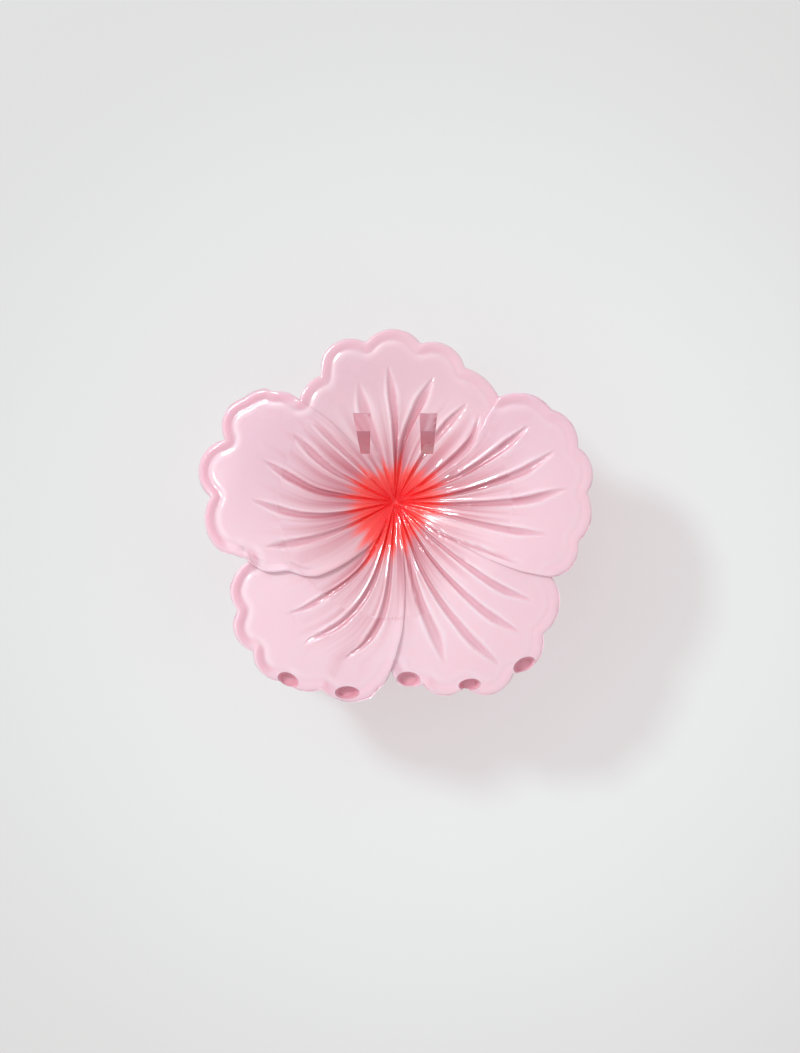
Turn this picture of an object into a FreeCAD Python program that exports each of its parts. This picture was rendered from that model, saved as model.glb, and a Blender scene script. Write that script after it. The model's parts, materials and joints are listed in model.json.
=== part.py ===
import FreeCAD, Part
import math
import os

import Sketcher
from FreeCAD import Placement, Rotation, Vector

# A hibiscus claw clip for hair: two moulded flower jaws on one steel pin, closed by a torsion spring.
# The clip lies on its rear flower. +X is to the flower's right, +Y towards the finger petal at the top,
# +Z out of the front flower. The origin is on the surface below the middle of the clip.

# Driving dimensions, in millimetres and degrees.
DIMENSIONS = [
    ("clip_height", 38.0, "rear flower's highest petals to front flower's highest petals"),
    ("flower_y", 2.7, "throat of both flowers, above the middle of the clip"),
    ("rear_size", 0.955, "rear petals' outlines as a share of the front ones"),
    ("shell", 2.4, "thickness of a petal"),
    ("belly_radius", 24.0, "distance from the throat at which a petal is highest"),
    ("bowl_reach", 47.0, "radius of the turned bowls that the petals are cut from"),
    ("throat_hole", 1.6, "radius at which the petals' bowls start"),
    ("throat_radius", 3.4, "boss that closes the throat between the petals"),
    ("throat_sink", 0.6, "top of that boss below the petals round it"),
    ("throat_deep", 3.0, "thickness of that boss"),
    ("throat_lap", 3.0, "how far each petal runs past the throat"),
    ("hinge_rise", 12.0, "hinge axis above the throat"),
    ("knuckle", 3.1, "radius of a hinge lug round the pin"),
    ("lug_width", 3.7, "width of a hinge lug along the pin"),
    ("front_lug_x", 6.8, "middle of each front lug"),
    ("rear_lug_x", 10.8, "middle of each rear lug"),
    ("lug_root", 8.2, "length of a lug's root on the shell"),
    ("lug_bite", 1.44, "how far a lug's root is let into the shell"),
    ("window_width", 3.6, "moulding window over a lug, along the pin"),
    ("window_low", 9.8, "near edge of a window, above the throat"),
    ("window_high", 18.1, "far edge of a window, above the throat"),
    ("window_deep", 4.8, "bottom of a window's cut below the finger petal's highest ring"),
    ("pin_radius", 1.0, "steel pin"),
    ("running_gap", 0.06, "radial clearance of the front lugs on the pin"),
    ("pin_end", 0.5, "pin standing out of each rear lug"),
    ("head_radius", 1.7, "head of the pin"),
    ("head_height", 0.9, "head of the pin"),
    ("wire_radius", 0.5, "spring wire"),
    ("coil_radius", 2.4, "middle of the wire in the coil"),
    ("coil_pitch", 1.12, "spring wound with a little gap"),
    ("coil_turns", 5.0, "whole turns before the legs' own angle"),
    ("leg_reach", 14.2, "end of a leg beyond the hinge axis, towards the finger petals"),
    ("leg_gap", 0.1, "leg's end to the petal that it pushes"),
    ("vein_round", 1.0, "radius of a vein's bottom"),
    ("vein_deep", 0.55, "greatest depth of a vein"),
    ("vein_start", 7.0, "distance from the throat at which veins start"),
    ("tooth_root", 2.6, "half width of a tooth where it leaves the petal"),
    ("tooth_flat", 0.75, "thickness of a tooth as a share of its width"),
    ("tooth_clear", 1.0, "tooth tip to the opposite petal's inner face"),
    ("tooth_bite", 1.2, "how far a tooth's root is let into the shell"),
    ("pocket_long", 2.2, "half width of the moulding pocket over a tooth"),
    ("pocket_wide", 1.3, "half height of that pocket"),
    ("pocket_deep", 3.2, "depth of that pocket"),
]

# Each petal: drop of its highest ring below the clip's face, depth of its bowl, and its outline as
# (degrees, millimetres from the throat). The outline starts at a notch and alternates notch, tip, notch,
# so that each scallop is an arc through three points. The last point is halfway back along the side.
PETALS = {
    "left": (0.0, 6.0, [
        (133, 27.7), (139.8, 35.6), (146, 37.6), (153.8, 39.2), (160, 37.0), (170, 40.8), (178.3, 37.7),
        (190.5, 38.7), (200.9, 32.3), (209, 30.2), (213.5, 25.6), (219.5, 24.2), (225, 20.3), (231, 13.0)]),
    "right": (0.1, 5.9, [
        (-27, 33.7), (-20.5, 38.2), (-11.9, 38.3), (-3.8, 40.3), (2.9, 39.3), (8.5, 40.9), (16.4, 39.0),
        (23, 39.6), (30.3, 37.1), (38.5, 35.2), (46, 29.0), (39, 15.0)]),
    "lower_left": (0.8, 5.2, [
        (202, 31.5), (208.3, 38.2), (215, 39.1), (220, 42.6), (226.7, 42.2), (231.5, 44.4), (237.9, 43.2),
        (243, 43.2), (248.2, 41.3), (257, 41.9), (268.9, 33.1), (276, 18.0)]),
    "lower_right": (1.6, 4.4, [
        (268, 32.0), (273.5, 37.6), (279, 37.8), (284.8, 40.9), (291.1, 40.5), (297.3, 44.2), (304.5, 42.7),
        (310.8, 43.8), (317.8, 40.6), (325, 40.4), (336, 33.0), (334, 15.0)]),
    "top": (1.7, 4.3, [
        (38, 28.0), (51.2, 31.0), (62.4, 30.9), (70.8, 33.7), (80.7, 32.8), (90.6, 35.4), (100.4, 33.2),
        (113, 34.4), (120.7, 30.0), (128, 29.8), (139, 25.0), (140, 12.0)]),
}

# The scallop of the rear flower that sits behind the front flower's left notch, cut back to stay hidden.
REAR_TRIM = ("rear_jaw_right_outline", 1, (-20.5, 34.4))

# Veins pressed into the petals: petal, degrees from the throat, and distance at which each runs out.
VEINS = [
    ("left", 146, 25.4), ("left", 162.7, 28.9), ("left", 179.6, 29.7), ("left", 199.3, 28.4),
    ("top", 108.6, 25.7), ("top", 92.9, 27.8), ("top", 72.7, 26.8), ("top", 55, 25.2),
    ("right", 29.8, 31.6), ("right", 17.3, 34.3), ("right", 4.1, 35.1), ("right", -12.1, 32),
    ("lower_right", -36, 35.1), ("lower_right", -46, 37.2),
    ("lower_right", -57, 37), ("lower_right", -72.9, 34),
    ("lower_left", 226, 33.3), ("lower_left", 237.4, 35.2),
    ("lower_left", 251.3, 34.3), ("lower_left", 264, 31),
]

# Each tooth: place of its root to the right of and above the throat, and how far its section is turned.
TEETH = [(-21.7, -35.8, -25), (-9.9, -38.2, 5), (2.7, -35.8, 12), (15.2, -36.4, 0), (26.4, -32.7, 28)]
# Sections down a tooth: share of its length, share of its root's width, and lean towards the hinge.
TOOTH_SECTIONS = [(0.0, 1.0, 0.0), (0.22, 0.80, 0.0), (0.5, 0.66, 0.4), (0.8, 0.48, 1.9), (1.0, 0.24, 3.6)]

doc = FreeCAD.newDocument("flower_claw_clip")
sheet = doc.addObject("Spreadsheet::Sheet", "Dimensions")
for row, (alias, value, note) in enumerate(DIMENSIONS, start=1):
    sheet.set(f"A{row}", alias)
    sheet.set(f"B{row}", str(value))
    sheet.set(f"C{row}", note)
    sheet.setAlias(f"B{row}", alias)
doc.recompute()

X_AXIS, Y_AXIS, Z_AXIS = Vector(1, 0, 0), Vector(0, 1, 0), Vector(0, 0, 1)
SIDE_VIEW = Rotation(Vector(1, 1, 1), 120)  # a sketch's x runs along Y and its y along Z


def dim(alias):
    return float(sheet.get(alias))


MID_Z = dim("clip_height") / 2
HINGE_Y = dim("flower_y") + dim("hinge_rise")


def bind(thing, **expressions):
    """Ties properties to the sheet. A name starting with @ inside an expression is a sheet cell."""
    for prop, expression in expressions.items():
        thing.setExpression(prop.replace("__", "."), expression.replace("@", "Dimensions."))
    return thing


def polar(degrees, reach):
    """A point seen from the throat, in the clip's own X and Y."""
    angle = math.radians(degrees)
    return Vector(reach * math.cos(angle), dim("flower_y") + reach * math.sin(angle), 0)


def bowl_radius(dish):
    """Radius of the arc that is dish deep at the throat and level at the belly."""
    return (dim("belly_radius") ** 2 + dish**2) / (2 * dish)


def petal_height(petal, distance):
    """Height of a petal's outer face at a distance from the throat."""
    drop, dish, _ = PETALS[petal]
    arc = bowl_radius(dish)
    return dim("clip_height") - drop - arc + math.sqrt(arc**2 - (distance - dim("belly_radius")) ** 2)


def bowl_profile(name, petal):
    """Half section of a petal's bowl: two arcs about one centre, closed at the throat and at the reach."""
    drop, dish, _ = PETALS[petal]
    arc, shell, belly = bowl_radius(dish), dim("shell"), dim("belly_radius")
    hole, reach = dim("throat_hole"), dim("bowl_reach")
    centre = Vector(belly, dim("clip_height") - drop - arc, 0)
    sketch = doc.addObject("Sketcher::SketchObject", name)
    sketch.Placement = Placement(Vector(0, dim("flower_y"), 0), Rotation(X_AXIS, 90))
    ends = []
    for radius in (arc, arc - shell):
        start = math.acos((reach - belly) / radius)
        stop = math.acos((hole - belly) / radius)
        sketch.addGeometry(Part.ArcOfCircle(Part.Circle(centre, Z_AXIS, radius), start, stop))
        ends.append([centre + Vector(radius * math.cos(a), radius * math.sin(a), 0) for a in (start, stop)])
    sketch.addGeometry(Part.LineSegment(ends[1][0], ends[0][0]))
    sketch.addGeometry(Part.LineSegment(ends[1][1], ends[0][1]))
    for join in ((2, 1, 1, 1), (2, 2, 0, 1), (3, 1, 1, 2), (3, 2, 0, 2), (0, 3, 1, 3)):
        sketch.addConstraint(Sketcher.Constraint("Coincident", *join))
    sketch.addConstraint(Sketcher.Constraint("Vertical", 2))
    sketch.addConstraint(Sketcher.Constraint("Vertical", 3))
    radius_rule = f"(@belly_radius ^ 2 + {dish} ^ 2) / (2 * {dish})"
    for rule_name, constraint, rule in (
        ("reach", ("DistanceX", -1, 1, 2, 1, reach), "@bowl_reach"),
        ("hole", ("DistanceX", -1, 1, 3, 1, hole), "@throat_hole"),
        ("belly", ("DistanceX", -1, 1, 0, 3, belly), "@belly_radius"),
        ("below", ("DistanceY", 0, 3, -1, 1, -centre.y), f"{radius_rule} + {drop} - @clip_height"),
        ("outer", ("Radius", 0, arc), radius_rule),
        ("inner", ("Radius", 1, arc - shell), radius_rule + " - @shell"),
    ):
        index = sketch.addConstraint(Sketcher.Constraint(*constraint))
        sketch.renameConstraint(index, rule_name)
        bind(sketch, **{f"Constraints__{rule_name}": rule})
    return sketch


def petal_outline(name, petal, size):
    """A petal seen from the front: scalloped margin, two sides, and a short lap past the throat."""
    outline = list(PETALS[petal][2])
    if name == REAR_TRIM[0]:
        outline[REAR_TRIM[1]] = REAR_TRIM[2]
    points = [polar(degrees, reach * size) for degrees, reach in outline]
    scallops, side = points[:-1], points[-1]
    heading = sum(p[0] for p in PETALS[petal][2][:-1]) / len(scallops)
    behind = polar(heading + 180, dim("throat_lap"))
    edges = [Part.Arc(*scallops[i : i + 3]) for i in range(0, len(scallops) - 2, 2)]
    edges += [Part.Arc(scallops[-1], side, behind), Part.LineSegment(behind, scallops[0])]
    sketch = doc.addObject("Sketcher::SketchObject", name)
    for edge in edges:
        sketch.addGeometry(edge)
    close_outline(sketch)
    return sketch


def close_outline(sketch):
    """Ties each curve of a sketch to the next one, at whichever of their ends meet."""
    count = sketch.GeometryCount
    for one in range(count):
        other = (one + 1) % count
        pairs = [((one, a), (other, b)) for a in (1, 2) for b in (1, 2)]
        ends = min(pairs, key=lambda p: (sketch.getPoint(*p[0]) - sketch.getPoint(*p[1])).Length)
        sketch.addConstraint(Sketcher.Constraint("Coincident", *ends[0], *ends[1]))


def extrusion(name, sketch, direction, length, backward="0"):
    thing = doc.addObject("Part::Extrusion", name)
    thing.Base = sketch
    thing.DirMode = "Custom"
    thing.Dir = direction
    thing.Solid = True
    return bind(thing, LengthFwd=length, LengthRev=backward)


def joined(kind, name, base, tool):
    thing = doc.addObject(kind, name)
    thing.Base, thing.Tool = base, tool
    return thing


def fused(name, shapes):
    thing = doc.addObject("Part::MultiFuse", name)
    thing.Shapes = shapes
    return thing


def petal(jaw, petal_name, size):
    """A petal cut from its turned bowl."""
    bowl = doc.addObject("Part::Revolution", f"{jaw}_{petal_name}_bowl")
    bowl.Source = bowl_profile(f"{jaw}_{petal_name}_profile", petal_name)
    bowl.Axis = Z_AXIS
    bowl.Base = Vector(0, dim("flower_y"), 0)
    bowl.Angle = 360
    bowl.Solid = True
    prism = extrusion(
        f"{jaw}_{petal_name}_prism",
        petal_outline(f"{jaw}_{petal_name}_outline", petal_name, size),
        Z_AXIS,
        "@clip_height",
    )
    return joined("Part::Common", f"{jaw}_{petal_name}_petal", bowl, prism)


def tangent_point(centre, radius, outside, side):
    """Where a line from a point outside a circle touches it; side is 1 or -1."""
    away = outside - centre
    half = math.acos(radius / away.Length)
    turned = Rotation(Z_AXIS, math.degrees(side * half)).multVec(away)
    return centre + turned * (radius / away.Length)


def lug(jaw, side, lug_x):
    """A hinge lug: a gusset that leaves the shell below its window and ends in a knuckle round the pin."""
    hinge = Vector(HINGE_Y, MID_Z, 0)
    knuckle, bite = dim("knuckle"), dim("lug_bite")
    root_y = dim("flower_y") + dim("window_low")
    near_reach = math.hypot(dim(lug_x), dim("window_low"))
    far_reach = math.hypot(dim(lug_x), dim("window_low") - dim("lug_root"))
    near = Vector(root_y, petal_height("top", near_reach) - bite, 0)
    far = Vector(root_y - dim("lug_root"), petal_height("top", far_reach) - bite, 0)
    front = tangent_point(hinge, knuckle, near, -1)
    back = tangent_point(hinge, knuckle, far, 1)
    below = hinge + (hinge - (front + back) * 0.5).normalize() * knuckle
    sketch = doc.addObject("Sketcher::SketchObject", f"{jaw}_lug_{side}_outline")
    sketch.Placement = Placement(Vector(), SIDE_VIEW)
    sketch.addGeometry(Part.LineSegment(far, near))
    sketch.addGeometry(Part.LineSegment(near, front))
    sketch.addGeometry(Part.Arc(front, below, back))
    sketch.addGeometry(Part.LineSegment(back, far))
    close_outline(sketch)
    sign = 1 if side == "right" else -1
    half, middle = "@lug_width / 2", f"{sign} * @{lug_x}"
    return extrusion(f"{jaw}_lug_{side}", sketch, X_AXIS, f"{half} + {middle}", f"{half} - {middle}")


def window(jaw, side, lug_x):
    """A rectangular moulding window through the shell over a lug."""
    box = doc.addObject("Part::Box", f"{jaw}_window_{side}")
    sign = 1 if side == "right" else -1
    return bind(
        box,
        Length="@window_width",
        Width="@window_high - @window_low",
        Height="2 * @window_deep",
        Placement__Base__x=f"{sign} * @{lug_x} - @window_width / 2",
        Placement__Base__y="@flower_y + @window_low",
        Placement__Base__z=f"@clip_height - {PETALS['top'][0]} - @window_deep",
    )


def ellipse(name, centre, turn, long_rule, short_rule):
    ring = doc.addObject("Part::Ellipse", name)
    ring.Placement = Placement(centre, Rotation(Z_AXIS, turn))
    return bind(ring, MajorRadius=long_rule, MinorRadius=short_rule)


def tooth_petal(x):
    return "lower_left" if x < 0 else "lower_right"


def tooth(jaw, number, x, y, turn):
    """A curved tapering tooth, lofted through ellipses."""
    face = petal_height(tooth_petal(x), math.hypot(x, y))
    root_z = face - dim("shell") + dim("tooth_bite")
    tip_z = dim("clip_height") - face + dim("shell") + dim("tooth_clear")
    rings = []
    for step, (down, width, lean) in enumerate(TOOTH_SECTIONS):
        centre = Vector(x, dim("flower_y") + y + lean, root_z + (tip_z - root_z) * down)
        rings.append(ellipse(
            f"{jaw}_tooth_{number}_section_{step}",
            centre,
            turn,
            f"@tooth_root * {width}",
            f"@tooth_root * @tooth_flat * {width}",
        ))
    loft = doc.addObject("Part::Loft", f"{jaw}_tooth_{number}")
    loft.Sections = rings
    loft.Solid = True
    return loft


def pocket(jaw, number, x, y, turn):
    """The moulding pocket in the petal's face over a tooth."""
    face = petal_height(tooth_petal(x), math.hypot(x, y))
    centre = Vector(x, dim("flower_y") + y, face - dim("pocket_deep"))
    ring = ellipse(f"{jaw}_pocket_{number}_outline", centre, turn, "@pocket_long", "@pocket_wide")
    return extrusion(f"{jaw}_pocket_{number}", ring, Z_AXIS, "@pocket_deep * 2")


def vein(jaw, number, petal_name, degrees, reach):
    """A ring segment that dips into a petal between its start and its reach and comes out at both."""
    tube, start = dim("vein_round"), dim("vein_start")
    middle = (start + reach) / 2
    points = [
        Vector(r, petal_height(petal_name, r) + tube - dip, 0)
        for r, dip in ((start, 0), (middle, dim("vein_deep")), (reach, 0))
    ]
    path = Part.Circle(*points)
    centre, first = path.Center, points[2] - path.Center
    last = points[0] - path.Center
    upright = Placement(Vector(0, dim("flower_y"), 0), Rotation(Z_AXIS, degrees) * Rotation(X_AXIS, 90))
    turn = math.degrees(math.atan2(first.y, first.x))
    ring = doc.addObject("Part::Torus", f"{jaw}_vein_{number}")
    ring.Radius1 = path.Radius
    ring.Angle3 = math.degrees(first.getAngle(last))
    ring.Placement = upright * Placement(centre, Rotation(Z_AXIS, turn))
    return bind(ring, Radius2="@vein_round")


def jaw(name, size, lug_x, bore_rule):
    """One moulded jaw in the front position: five petals, two lugs, five teeth, less windows and bore."""
    sides = ("left", "right")
    throat = doc.addObject("Part::Cylinder", f"{name}_throat")
    throat_top = petal_height("left", dim("throat_radius")) - dim("throat_sink")
    throat.Placement = Placement(Vector(0, dim("flower_y"), throat_top - dim("throat_deep")), Rotation())
    bind(throat, Radius="@throat_radius", Height="@throat_deep")
    flower = fused(f"{name}_flower", [throat] + [petal(name, p, size) for p in PETALS])
    opened = joined(
        "Part::Cut",
        f"{name}_shell",
        flower,
        fused(f"{name}_windows", [window(name, side, lug_x) for side in sides]),
    )
    lugs = [lug(name, side, lug_x) for side in sides]
    places = [(x, y * size, turn) for x, y, turn in TEETH]
    teeth = [tooth(name, i, *t) for i, t in enumerate(places, start=1)]
    solid = fused(f"{name}_solid", [opened, *lugs, *teeth])
    bore = doc.addObject("Part::Cylinder", f"{name}_bore")
    bore.Placement = Placement(Vector(-dim("belly_radius"), HINGE_Y, MID_Z), Rotation(Y_AXIS, 90))
    bind(bore, Radius=bore_rule, Height="2 * @belly_radius")
    pockets = [pocket(name, i, *t) for i, t in enumerate(places, start=1)]
    veins = [vein(name, i, *v) for i, v in enumerate(VEINS, start=1)]
    return joined("Part::Cut", name, solid, fused(f"{name}_cuts", [bore, *pockets, *veins]))


def hinge_pin():
    """A steel pin with a tapered head, along the hinge axis."""
    along = Rotation(Y_AXIS, 90)
    half = dim("rear_lug_x") + dim("lug_width") / 2
    shaft = doc.addObject("Part::Cylinder", "pin_shaft")
    shaft.Placement = Placement(Vector(-half - dim("pin_end"), HINGE_Y, MID_Z), along)
    bind(shaft, Radius="@pin_radius", Height="2 * @rear_lug_x + @lug_width + @pin_end + @head_height / 2")
    head = doc.addObject("Part::Cone", "pin_head")
    head.Placement = Placement(Vector(half, HINGE_Y, MID_Z), along)
    bind(head, Radius1="@head_radius", Radius2="@head_radius - @head_height / 2", Height="@head_height")
    return fused("hinge_pin", [shaft, head])


def torsion_spring():
    """A wound coil round the pin with two straight legs that push the finger petals apart."""
    coil_r, wire = dim("coil_radius"), dim("wire_radius")
    reach = dim("leg_reach")
    lever_inside = petal_height("top", dim("hinge_rise") + reach) - dim("shell")
    rise = lever_inside - MID_Z - wire - dim("leg_gap")
    length = math.sqrt(reach**2 + rise**2 - coil_r**2)
    slope = math.degrees(math.atan2(rise, reach) - math.atan(coil_r / length))
    spare = 2 * (180 - (slope + 90))  # the part turn between the two legs
    turns = dim("coil_turns") + spare / 360
    half = turns * dim("coil_pitch") / 2
    begin = math.radians(-(slope + 90))
    axes = FreeCAD.Matrix(
        0, 0, 1, -half,
        math.cos(begin), -math.sin(begin), 0, HINGE_Y,
        math.sin(begin), math.cos(begin), 0, MID_Z,
    )
    helix = doc.addObject("Part::Helix", "spring_path")
    helix.LocalCoord = 1  # left-handed
    helix.Placement = Placement(axes)
    bind(helix, Radius="@coil_radius", Pitch="@coil_pitch", Height=f"@coil_pitch * {turns}")
    doc.recompute()
    legs = []
    for name, x, sign in (("rear", -half, -1), ("front", half, 1)):
        angle = math.radians(sign * (slope + 90))
        start = Vector(x, HINGE_Y + coil_r * math.cos(angle), MID_Z + coil_r * math.sin(angle))
        along = Vector(0, math.cos(math.radians(slope)), sign * math.sin(math.radians(slope)))
        leg = doc.addObject("Part::Cylinder", f"spring_{name}_leg")
        leg.Placement = Placement(start, Rotation(Z_AXIS, along))
        legs.append(bind(leg, Radius="@wire_radius", Height=f"{length}"))
        if sign < 0:
            section = doc.addObject("Part::Circle", "spring_section")
            section.Placement = Placement(start, Rotation(Z_AXIS, along))
            bind(section, Radius="@wire_radius")
    coil = doc.addObject("Part::Sweep", "spring_coil")
    coil.Sections = [section]
    coil.Spine = (helix, ["Edge1"])
    coil.Solid = True
    coil.Frenet = True
    return fused("torsion_spring", [coil, *legs])


front = jaw("front_jaw", 1, "front_lug_x", "@pin_radius + @running_gap")
rear = jaw("rear_jaw", dim("rear_size"), "rear_lug_x", "@pin_radius")
rear.Placement = Placement(Vector(0, 0, dim("clip_height")), Rotation(Y_AXIS, 180))
pin = hinge_pin()
spring = torsion_spring()
doc.recompute()

sub_parts = [front, rear, pin, spring]
failed = [o.Name for o in doc.Objects if "Invalid" in o.State or "Error" in o.State]
if failed:
    raise RuntimeError(f"failed to recompute: {failed}")
for part in sub_parts:
    part.Label = part.Name
    if part.Shape.isNull() or not part.Shape.isValid():
        raise RuntimeError(f"{part.Label} has no valid shape")

os.makedirs("parts", exist_ok=True)
for part in sub_parts:
    part.Shape.exportStep(f"parts/{part.Label}.step")
    box = part.Shape.optimalBoundingBox(False)
    print(
        f"{part.Label}: {len(part.Shape.Solids)} solid, {part.Shape.Volume:.0f} mm3, "
        f"x {box.XMin:.2f}..{box.XMax:.2f}, y {box.YMin:.2f}..{box.YMax:.2f}, "
        f"z {box.ZMin:.2f}..{box.ZMax:.2f}"
    )
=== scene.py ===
import json
import math

import bmesh
import bpy
import numpy as np
from mathutils import Matrix, Vector


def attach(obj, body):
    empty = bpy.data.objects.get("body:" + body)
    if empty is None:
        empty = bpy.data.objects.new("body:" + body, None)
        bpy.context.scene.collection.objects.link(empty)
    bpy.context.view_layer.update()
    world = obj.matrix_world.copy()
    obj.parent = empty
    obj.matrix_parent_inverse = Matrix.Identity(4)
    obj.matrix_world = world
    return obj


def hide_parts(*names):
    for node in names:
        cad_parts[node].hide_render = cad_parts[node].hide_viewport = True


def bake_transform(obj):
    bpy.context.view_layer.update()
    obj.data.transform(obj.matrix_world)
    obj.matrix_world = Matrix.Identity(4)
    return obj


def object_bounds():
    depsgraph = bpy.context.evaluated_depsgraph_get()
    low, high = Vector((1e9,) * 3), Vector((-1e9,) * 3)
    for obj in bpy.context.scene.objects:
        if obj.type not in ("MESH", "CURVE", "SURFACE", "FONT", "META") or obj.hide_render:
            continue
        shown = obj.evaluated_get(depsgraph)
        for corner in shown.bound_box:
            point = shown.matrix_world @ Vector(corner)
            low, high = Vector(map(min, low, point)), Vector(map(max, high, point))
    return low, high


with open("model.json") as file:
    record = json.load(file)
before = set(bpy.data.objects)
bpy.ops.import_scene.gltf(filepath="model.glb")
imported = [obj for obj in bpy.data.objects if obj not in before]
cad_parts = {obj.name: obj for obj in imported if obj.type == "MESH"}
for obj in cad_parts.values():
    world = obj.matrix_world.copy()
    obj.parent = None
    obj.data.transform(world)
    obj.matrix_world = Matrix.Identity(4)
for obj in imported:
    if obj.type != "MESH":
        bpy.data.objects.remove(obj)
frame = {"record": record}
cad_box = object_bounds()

# A hibiscus claw clip lying on its rear flower. Lengths are in millimetres until a mesh is made.
MM = 0.001

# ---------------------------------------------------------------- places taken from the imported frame

TOP_Z = cad_box[1][2] / MM  # highest part of the front flower
MID_Z = TOP_Z / 2
HINGE_Y = frame["record"]["behaviour"]["joints"][0]["pos_m"][1] / MM
HINGE_RISE = 12.0  # hinge axis above the throat
THROAT_Y = HINGE_Y - HINGE_RISE

# ---------------------------------------------------------------- the flower's dimensions

SHELL = 2.4
BELLY = 24.0  # distance from the throat at which a petal is highest
THROAT_DISH = (0.8, 5.2)  # drop and depth of the bowl that all petals share at the throat
FRONT_LUG_X, REAR_LUG_X = 6.8, 10.8
REAR_SIZE = 0.955  # the rear petals' outlines as a share of the front ones
REAR_TRIM = 0.9  # and one scallop of it, cut back so that it stays hidden behind the front flower
TRIM_ANGLES = (-27, -20.5, -11.9)
LUG_WIDTH, LUG_ROOT, KNUCKLE = 3.7, 8.2, 3.1
WINDOW_WIDTH, WINDOW_LOW, WINDOW_HIGH = 3.6, 9.8, 18.1
PIN_RADIUS, PIN_GAP = 1.0, 0.06

# Each petal: drop below the clip's face, depth of its bowl, and its outline as (degrees, mm) from the
# throat.
# Outlines alternate notch, tip, notch, so that each scallop is an arc through three points.
PETALS = {
    "right": (0.1, 5.9, [
        (-27, 33.7), (-20.5, 38.2), (-11.9, 38.3), (-3.8, 40.3), (2.9, 39.3), (8.5, 40.9), (16.4, 39.0),
        (23, 39.6), (30.3, 37.1), (38.5, 35.2), (46, 29.0)]),
    "top": (1.7, 4.3, [
        (38, 28.0), (51.2, 31.0), (62.4, 30.9), (70.8, 33.7), (80.7, 32.8), (90.6, 35.4), (100.4, 33.2),
        (113, 34.4), (120.7, 30.0), (128, 29.8), (139, 25.0)]),
    "left": (0.0, 6.0, [
        (133, 27.7), (139.8, 35.6), (146, 37.6), (153.8, 39.2), (160, 37.0), (170, 40.8), (178.3, 37.7),
        (190.5, 38.7), (200.9, 32.3)]),
    "lower_left": (0.8, 5.2, [
        (202, 31.5), (208.3, 38.2), (215, 39.1), (220, 42.6), (226.7, 42.2), (231.5, 44.4), (237.9, 43.2),
        (243, 43.2), (248.2, 41.3), (257, 41.9), (268.9, 33.1)]),
    "lower_right": (1.6, 4.4, [
        (268, 32.0), (273.5, 37.6), (279, 37.8), (284.8, 40.9), (291.1, 40.5), (297.3, 44.2), (304.5, 42.7),
        (310.8, 43.8), (317.8, 40.6), (325, 40.4), (336, 33.0)]),
}
PETAL_ORDER = ["right", "top", "left", "lower_left", "lower_right"]

# Seams between neighbouring petals: the two petals, the one on top, how far it stands over the other,
# how high its lip is there, and the seam's course as (mm from the throat, degrees) up to the margin.
SEAMS = [
    ("lower_right", "right", "right", 0.35, 0.1, [(0, -30), (8.9, -31), (16, -33), (21.3, -32), (29, -29)]),
    ("right", "top", "right", 0.35, 0.15, [(0, 28), (7, 31), (13.9, 34.6), (20.1, 37.8), (25.6, 43)]),
    ("top", "left", "left", 0.25, 0.12, [(0, 100), (4, 110), (7.9, 118), (14, 125.4), (20.3, 128.4)]),
    ("left", "lower_left", "left", 0.6, 0.5, [
        (0, 254), (4.8, 249), (12.2, 236), (15, 232.3), (17.3, 229.4), (19.9, 226.2), (21.8, 224),
        (23.7, 219.7), (24.9, 215.8), (25.6, 213), (26.5, 212), (28.4, 210.3), (30.2, 208), (31.3, 205)]),
    ("lower_left", "lower_right", "lower_left", 0.3, 0.12, [
        (0, 280), (10.2, 279), (18, 276.5), (25.8, 273.5)]),
]

# Veins from their outer end to the throat, as three (x, y) points from the throat, width and depth.
VEINS = [
    (-21.2, 14.2, -14.3, 7.6, -8.2, 4.0, 0.95, 0.75),
    (-27.1, 8.6, -20.4, 4.5, -14.3, 1.9, 0.9, 0.7),
    (-29.4, 0.4, -20.4, -2.4, -12.3, -2.5, 0.85, 0.7),
    (-26.6, -9.3, -17.9, -7.8, -10.2, -5.2, 0.95, 0.75),
    (-22.5, -23.1, -16.3, -20.5, -6.5, -13.0, 0.7, 0.6),
    (-18.9, -29.0, -10.2, -24.1, -4.2, -15.6, 0.95, 0.8),
    (-10.7, -32.3, -5.1, -27.7, -1.6, -19.0, 0.9, 0.7),
    (10.2, -33.1, 8.3, -27.5, 4.6, -18.5, 1.2, 0.55),
    (21.7, -33.6, 14.3, -26.7, 6.0, -15.0, 0.95, 0.75),
    (25.8, -26.9, 17.9, -22.1, 8.2, -12.5, 0.9, 0.75),
    (28.1, -20.3, 20.4, -17.0, 9.0, -8.6, 0.85, 0.7),
    (26.6, -12.9, 17.9, -9.8, 9.0, -6.2, 0.5, 0.3),
    (31.2, -6.7, 23.0, -5.7, 12.8, -3.4, 0.8, 0.55),
    (35.2, 2.7, 25.6, 0.2, 12.3, -0.4, 0.95, 0.75),
    (32.7, 10.4, 25.6, 6.0, 13.3, 1.9, 0.95, 0.8),
    (27.4, 15.7, 22.0, 11.1, 12.8, 5.2, 1.0, 0.85),
    (17.4, 17.5, 14.9, 11.6, 8.6, 6.0, 1.1, 0.7),
    (14.8, 20.3, 9.7, 14.7, 5.1, 8.6, 1.0, 0.75),
    (7.9, 25.7, 4.6, 19.3, 1.5, 11.7, 1.15, 0.7),
    (-1.5, 27.8, -0.5, 20.9, 0.0, 13.2, 0.95, 0.7),
    (-7.6, 24.4, -6.0, 18.0, -3.4, 11.0, 1.3, 0.35),
    (-17.9, 17.6, -9.2, 9.1, -5.0, 5.0, 0.8, 0.45),
]

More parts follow.
